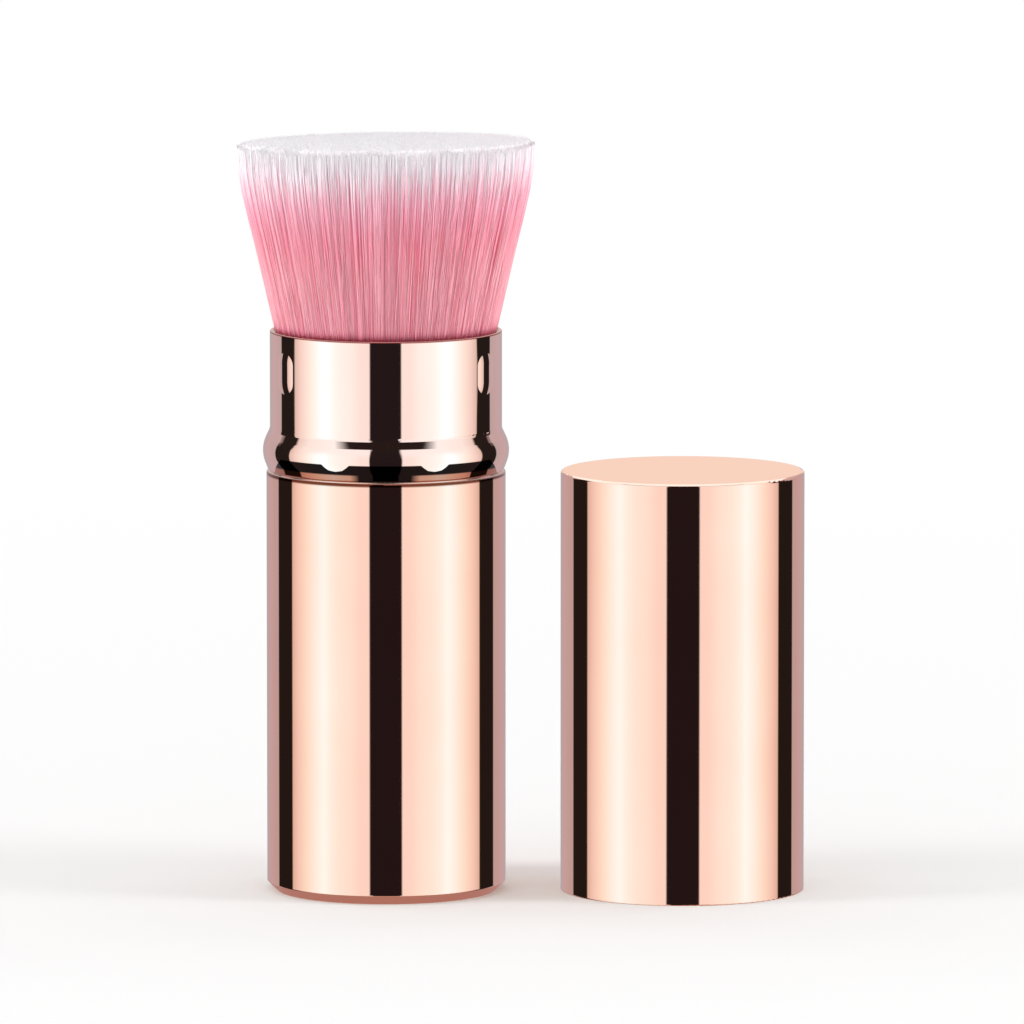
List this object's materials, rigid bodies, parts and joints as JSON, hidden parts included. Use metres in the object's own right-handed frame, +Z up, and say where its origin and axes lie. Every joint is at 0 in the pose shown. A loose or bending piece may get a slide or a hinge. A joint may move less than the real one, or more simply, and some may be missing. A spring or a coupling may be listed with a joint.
{
  "type": "retractable makeup brush",
  "caption": "Telescopic flat-top makeup brush: a metal handle tube, a sliding collar with a rolled grip bead that gathers the tuft, and a lift-off cap standing beside it.",
  "frame": {"origin": "centre of the handle's flat foot, on the surface that the brush stands on", "axes": "+Z up the brush's axis towards the bristles; +X to the right, towards the cap; +Y to the back"},
  "size_m": [0.0711, 0.037, 0.0948],
  "materials": {
    "rose_gold": "polished and anodised rose gold",
    "plain_aluminium": "drawn, bright",
    "guide_metal": "satin anodised rose gold",
    "weight_steel": "turned, zinc plated",
    "white_moulding": "moulded, fine matt",
    "bush_moulding": "moulded, fine matt",
    "silicone": "matt",
    "resin": "cast, clear amber",
    "thread": "wound thread",
    "bristle": "synthetic fibre, pink with white tips"
  },
  "bodies": {
    "base": {"base_shell": "rose_gold", "base_weight": "weight_steel", "base_plug": "white_moulding", "base_liner": "white_moulding", "mouth_bush": "bush_moulding", "friction_ring": "silicone", "brush_post": "white_moulding", "ferrule": "plain_aluminium", "root_resin": "resin", "root_binding": "thread", "bristles": "bristle"},
    "sleeve": {"collar_shell": "rose_gold", "collar_core": "white_moulding", "guide_tube": "guide_metal", "slide_shoe": "bush_moulding"},
    "cap": {"cap_shell": "rose_gold", "cap_liner": "white_moulding"}
  },
  "joints": [
    {"name": "sleeve_slide", "type": "slide", "parent": "base", "child": "sleeve", "axis": [0, 0, 1], "range_m": [0, 0.025], "deforming": ["bristles"]},
    {"name": "cap_lift", "type": "slide", "parent": "base", "child": "cap", "axis": [0, 0, 1], "range_m": [0, 0.08]}
  ]
}
